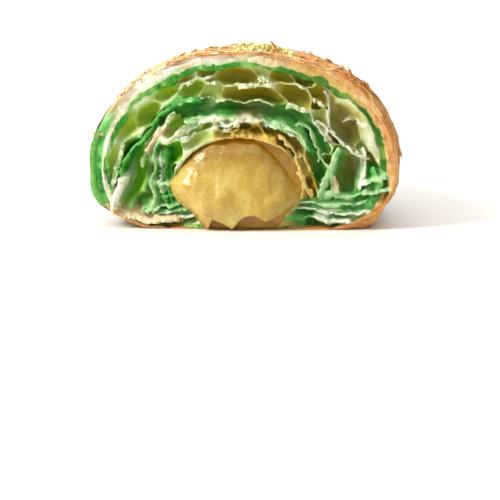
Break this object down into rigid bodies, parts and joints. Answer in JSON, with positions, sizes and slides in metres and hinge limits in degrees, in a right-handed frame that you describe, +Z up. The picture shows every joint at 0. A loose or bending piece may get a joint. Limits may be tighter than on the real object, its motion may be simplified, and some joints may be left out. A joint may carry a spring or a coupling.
{
  "type": "half croissant",
  "caption": "Cut half of a green and brown laminated croissant with an open honeycomb crumb, a nut cream filling and nut crumbs on top.",
  "frame": {"origin": "on the flat base, under the middle of the half", "axes": "+Z up from the base, +Y from the cut face towards the tip, +X towards the side the tip bends to"},
  "size_m": [0.0813, 0.0883, 0.0487],
  "materials": {
    "pastry": "baked laminated dough, brown and dark green",
    "cream": "glossy golden cream"
  },
  "bodies": {
    "root": {"croissant_half": "pastry", "pistachio_cream": "cream"}
  },
  "joints": []
}
